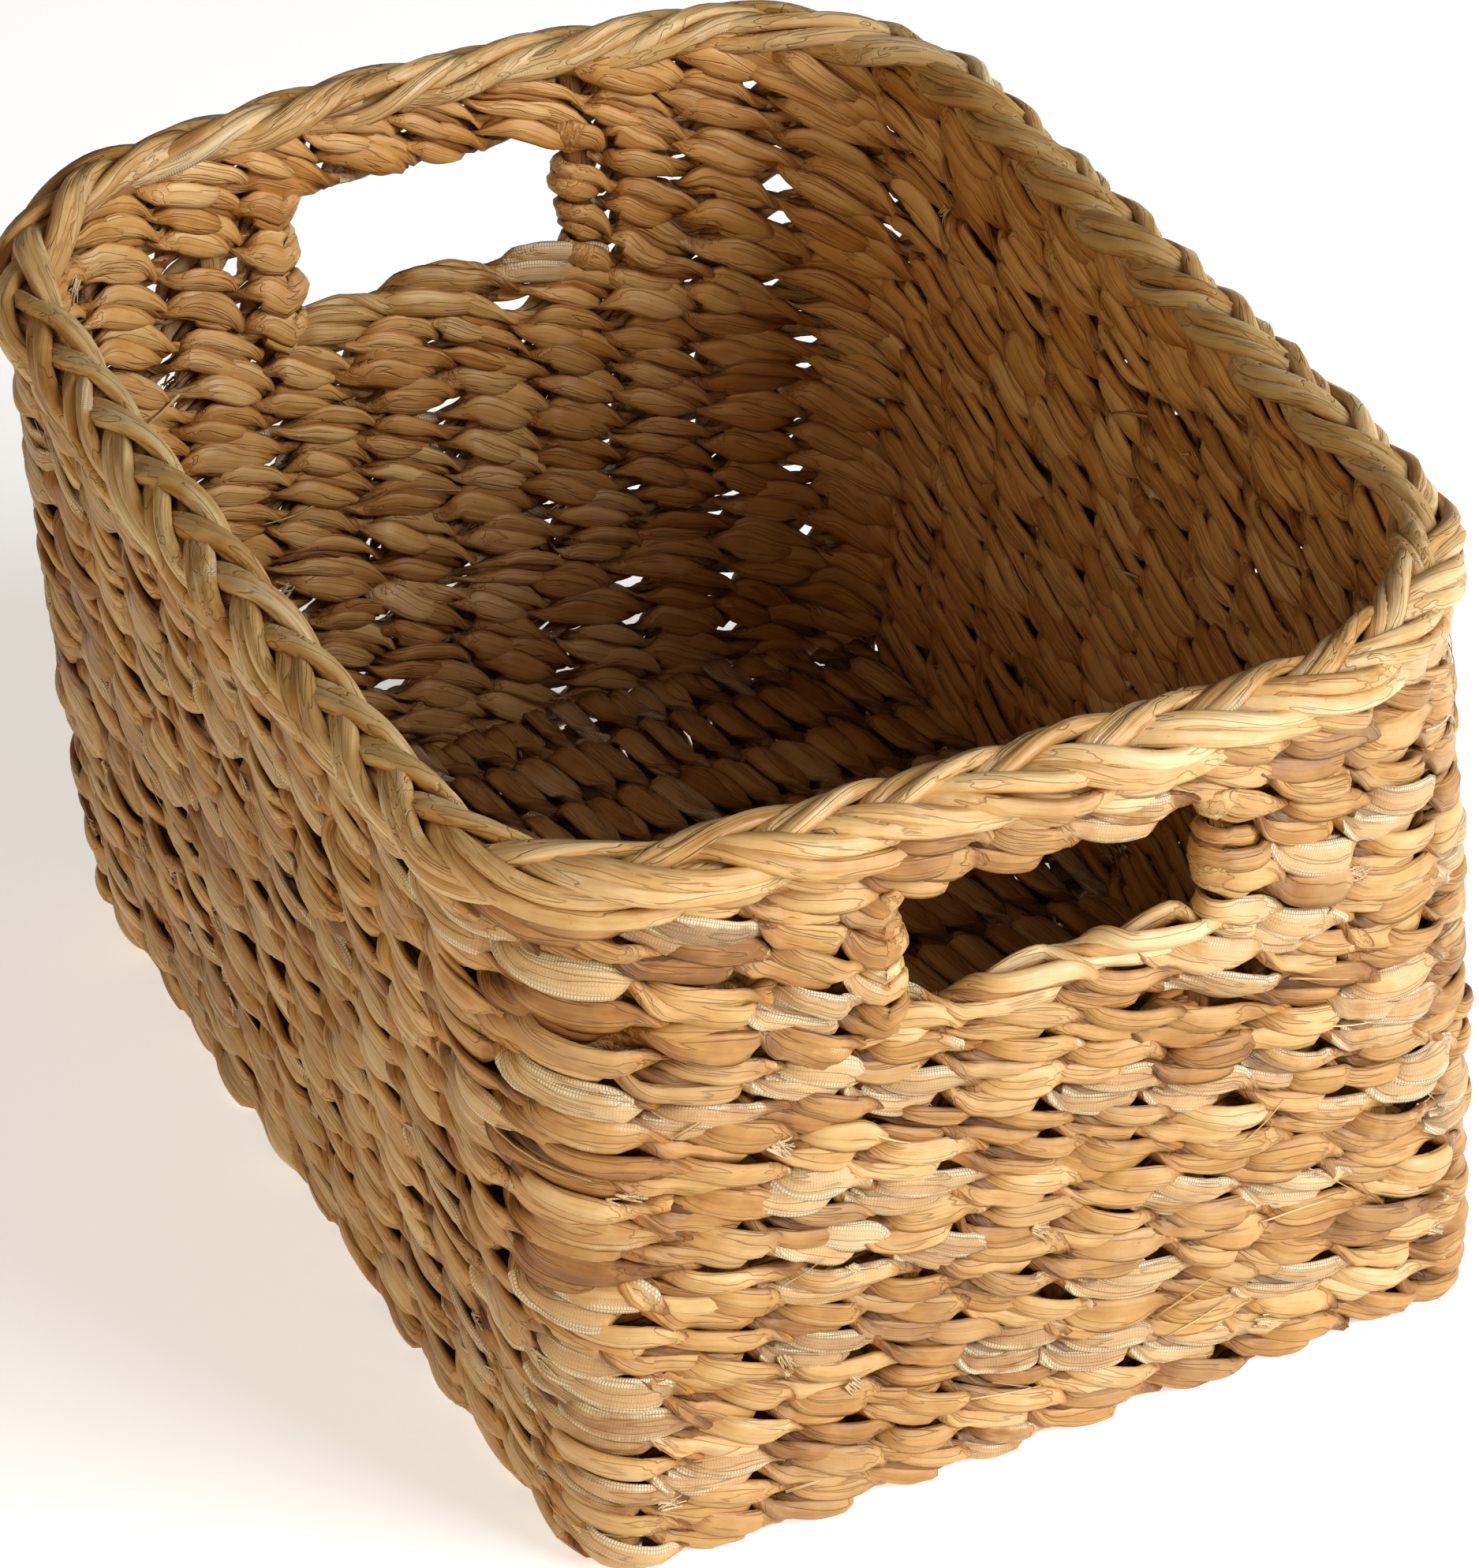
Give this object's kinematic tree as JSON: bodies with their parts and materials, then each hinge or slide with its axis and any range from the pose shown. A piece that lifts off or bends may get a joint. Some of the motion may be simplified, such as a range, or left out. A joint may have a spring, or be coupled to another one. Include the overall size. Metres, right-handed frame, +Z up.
{
  "type": "magazine basket",
  "caption": "Rectangular open-topped magazine basket of twined leaf fibre, with a plaited rim, a woven base and a hand slot in each short end.",
  "frame": {"origin": "middle of the underside, on the surface that the basket stands on", "axes": "+Z up out of the mouth, Y along the long sides, X across; a hand slot in the -Y and the +Y end"},
  "size_m": [0.3, 0.404, 0.218],
  "materials": {
    "weave_leaf": "dried leaf bundles, satin, straw to honey brown, with fine lengthwise fibre lines",
    "rim_leaf": "wider dried leaf bundles, satin, pale straw to honey",
    "stalk": "dried stalks, matt, darker brown"
  },
  "bodies": {
    "root": {"base_weave_lower": "weave_leaf", "base_weave_upper": "weave_leaf", "corner_stake_far_left": "stalk", "corner_stake_far_right": "stalk", "corner_stake_near_left": "stalk", "corner_stake_near_right": "stalk", "course_01": "weave_leaf", "course_02": "weave_leaf", "course_03": "weave_leaf", "course_04": "weave_leaf", "course_05": "weave_leaf", "course_06": "weave_leaf", "course_07": "weave_leaf", "course_08": "weave_leaf", "course_09": "weave_leaf", "course_10": "weave_leaf", "course_11": "weave_leaf", "course_12": "weave_leaf", "course_13": "weave_leaf", "course_14_left": "weave_leaf", "course_14_right": "weave_leaf", "course_15_left": "weave_leaf", "course_15_right": "weave_leaf", "course_16_left": "weave_leaf", "course_16_right": "weave_leaf", "course_17_left": "weave_leaf", "course_17_right": "weave_leaf", "course_18": "weave_leaf", "end_stake_01": "stalk", "end_stake_02": "stalk", "end_stake_03": "stalk", "end_stake_04": "stalk", "end_stake_05": "stalk", "end_stake_06": "stalk", "end_stake_07": "stalk", "end_stake_08": "stalk", "heel_course": "weave_leaf", "rim_braid": "rim_leaf", "side_stake_01": "stalk", "side_stake_02": "stalk", "side_stake_03": "stalk", "side_stake_04": "stalk", "side_stake_05": "stalk", "side_stake_06": "stalk", "side_stake_07": "stalk", "side_stake_08": "stalk", "side_stake_09": "stalk", "side_stake_10": "stalk", "side_stake_11": "stalk", "sill_roll_far": "rim_leaf", "sill_roll_near": "rim_leaf", "slot_post_far_left": "stalk", "slot_post_far_right": "stalk", "slot_post_near_left": "stalk", "slot_post_near_right": "stalk"}
  },
  "joints": []
}
